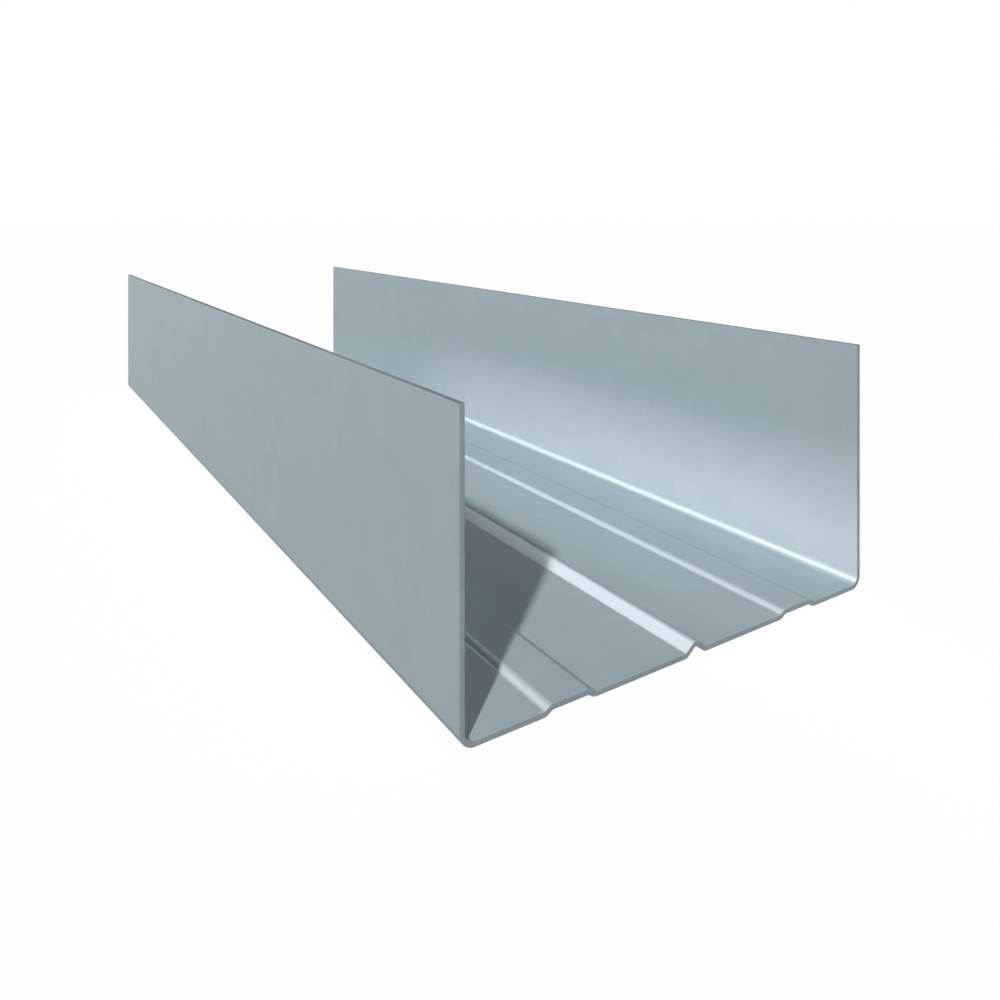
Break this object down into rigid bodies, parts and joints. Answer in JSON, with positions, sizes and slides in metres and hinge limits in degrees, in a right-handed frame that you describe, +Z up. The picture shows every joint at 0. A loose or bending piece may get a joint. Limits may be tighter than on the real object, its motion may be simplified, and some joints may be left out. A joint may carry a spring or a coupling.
{
  "type": "drywall track",
  "caption": "Roll-formed U channel of zinc-coated steel with a beaded web between plain flanges, fixed to a floor or ceiling to hold the studs of a partition wall.",
  "frame": {"origin": "middle of the web's underside, in the plane that the track rests on", "axes": "+Y along the track, +X across the web from one flange to the other, +Z up the flanges"},
  "size_m": [0.075, 0.24, 0.04],
  "materials": {
    "zinc_coated_steel": "satin"
  },
  "bodies": {
    "root": {"track": "zinc_coated_steel"}
  },
  "joints": []
}
